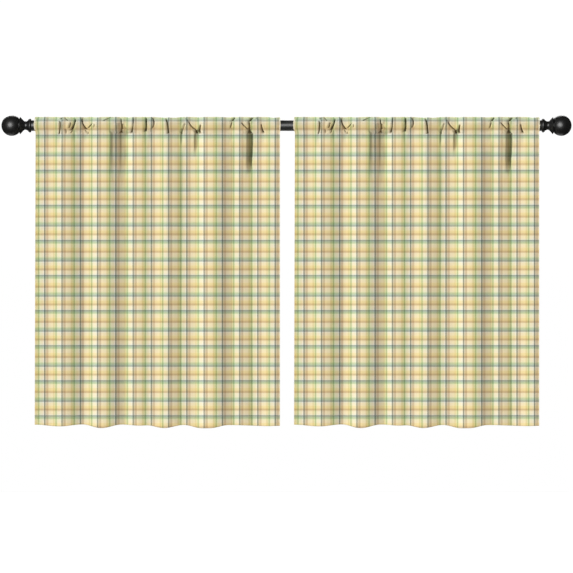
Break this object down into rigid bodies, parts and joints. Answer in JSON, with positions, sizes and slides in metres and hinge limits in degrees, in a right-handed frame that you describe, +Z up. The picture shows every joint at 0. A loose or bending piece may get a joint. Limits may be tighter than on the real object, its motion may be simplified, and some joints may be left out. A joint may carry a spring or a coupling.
{
  "type": "rod-pocket tier curtains on a curtain rod",
  "caption": "Plaid rod-pocket tier curtains, lightly gathered on a round black curtain rod with ball finials, which screen the lower part of a window.",
  "frame": {"origin": "on the rod's axis, at the middle of its length between the wall brackets that hold it", "axes": "+X along the rod to the right as seen from the room, -Y towards the room, +Z up"},
  "size_m": [1.406, 0.051, 0.772],
  "materials": {
    "rod_paint": "satin black paint on steel tube",
    "finial_lacquer": "satin black lacquer on cast resin",
    "plaid_cloth": "matt woven plaid in cream, gold, sage green, blue-grey and terracotta"
  },
  "bodies": {
    "root": {"rod": "rod_paint", "finial_neck_left": "finial_lacquer", "finial_neck_right": "finial_lacquer", "finial_ball_left": "finial_lacquer", "finial_ball_right": "finial_lacquer", "panel_left": "plaid_cloth", "panel_right": "plaid_cloth"}
  },
  "joints": []
}
